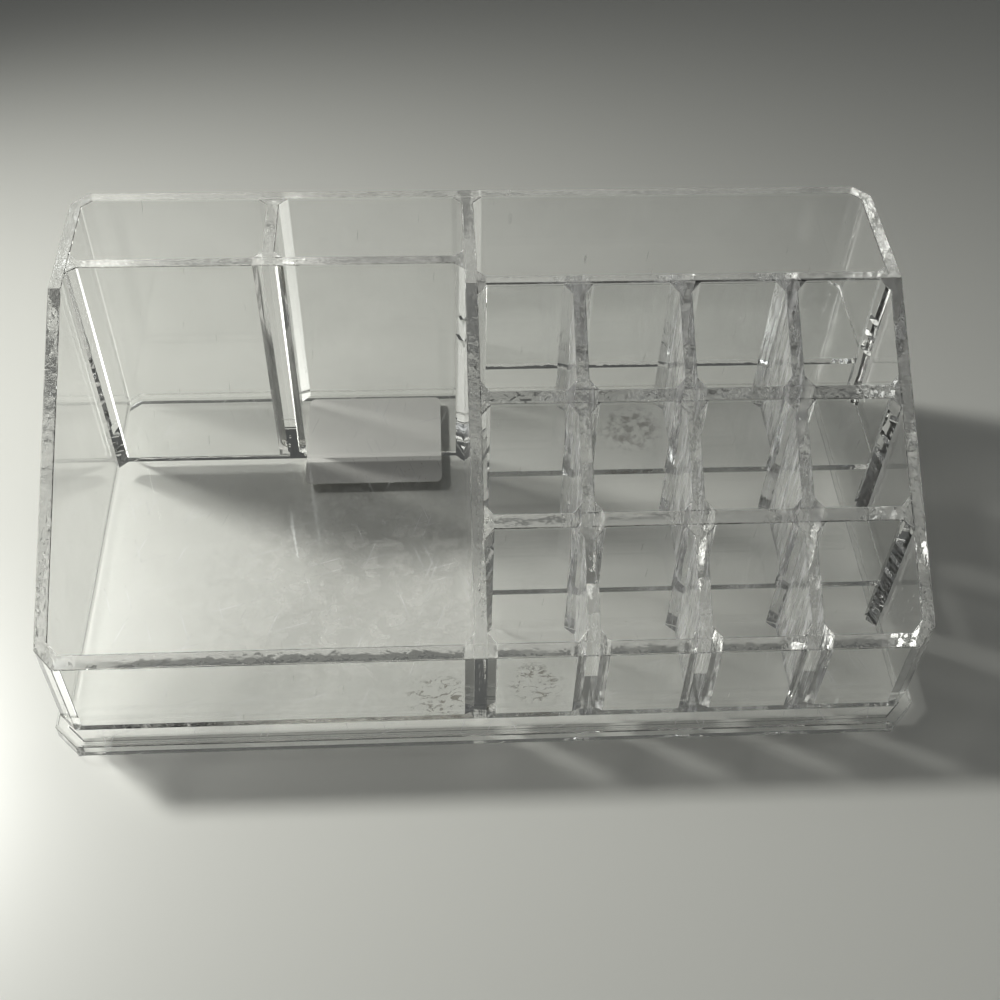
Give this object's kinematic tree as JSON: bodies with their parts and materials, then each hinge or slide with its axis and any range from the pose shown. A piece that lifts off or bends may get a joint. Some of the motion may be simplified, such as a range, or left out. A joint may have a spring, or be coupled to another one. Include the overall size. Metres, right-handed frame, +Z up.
{
  "type": "desk organizer",
  "caption": "Clear plastic desk organizer: tall rear cups and bin, a low open tray and a stepped rack of small upright cells on a rimmed base.",
  "frame": {"origin": "on the table, under the middle of the base plate", "axes": "+X across to the right, +Y towards the tall back, +Z up"},
  "size_m": [0.224, 0.131, 0.0792],
  "materials": {
    "clear_plastic": "glossy, colourless and see-through, lightly scratched",
    "label_film": "matte translucent white film, blank"
  },
  "bodies": {
    "root": {"base_plate": "clear_plastic", "underside_label": "label_film", "rear_wall": "clear_plastic", "left_side_wall": "clear_plastic", "right_side_wall": "clear_plastic", "front_wall": "clear_plastic", "centre_divider": "clear_plastic", "cup_front_wall": "clear_plastic", "cup_divider": "clear_plastic", "rack_wall_rear": "clear_plastic", "rack_wall_middle": "clear_plastic", "rack_wall_front": "clear_plastic", "rear_bin_floor": "clear_plastic", "rear_tier_floor": "clear_plastic", "middle_tier_floor": "clear_plastic", "rear_tier_divider_left": "clear_plastic", "rear_tier_divider_centre": "clear_plastic", "rear_tier_divider_right": "clear_plastic", "middle_tier_divider_left": "clear_plastic", "middle_tier_divider_centre": "clear_plastic", "middle_tier_divider_right": "clear_plastic", "front_tier_divider_left": "clear_plastic", "front_tier_divider_centre": "clear_plastic", "front_tier_divider_right": "clear_plastic"}
  },
  "joints": []
}
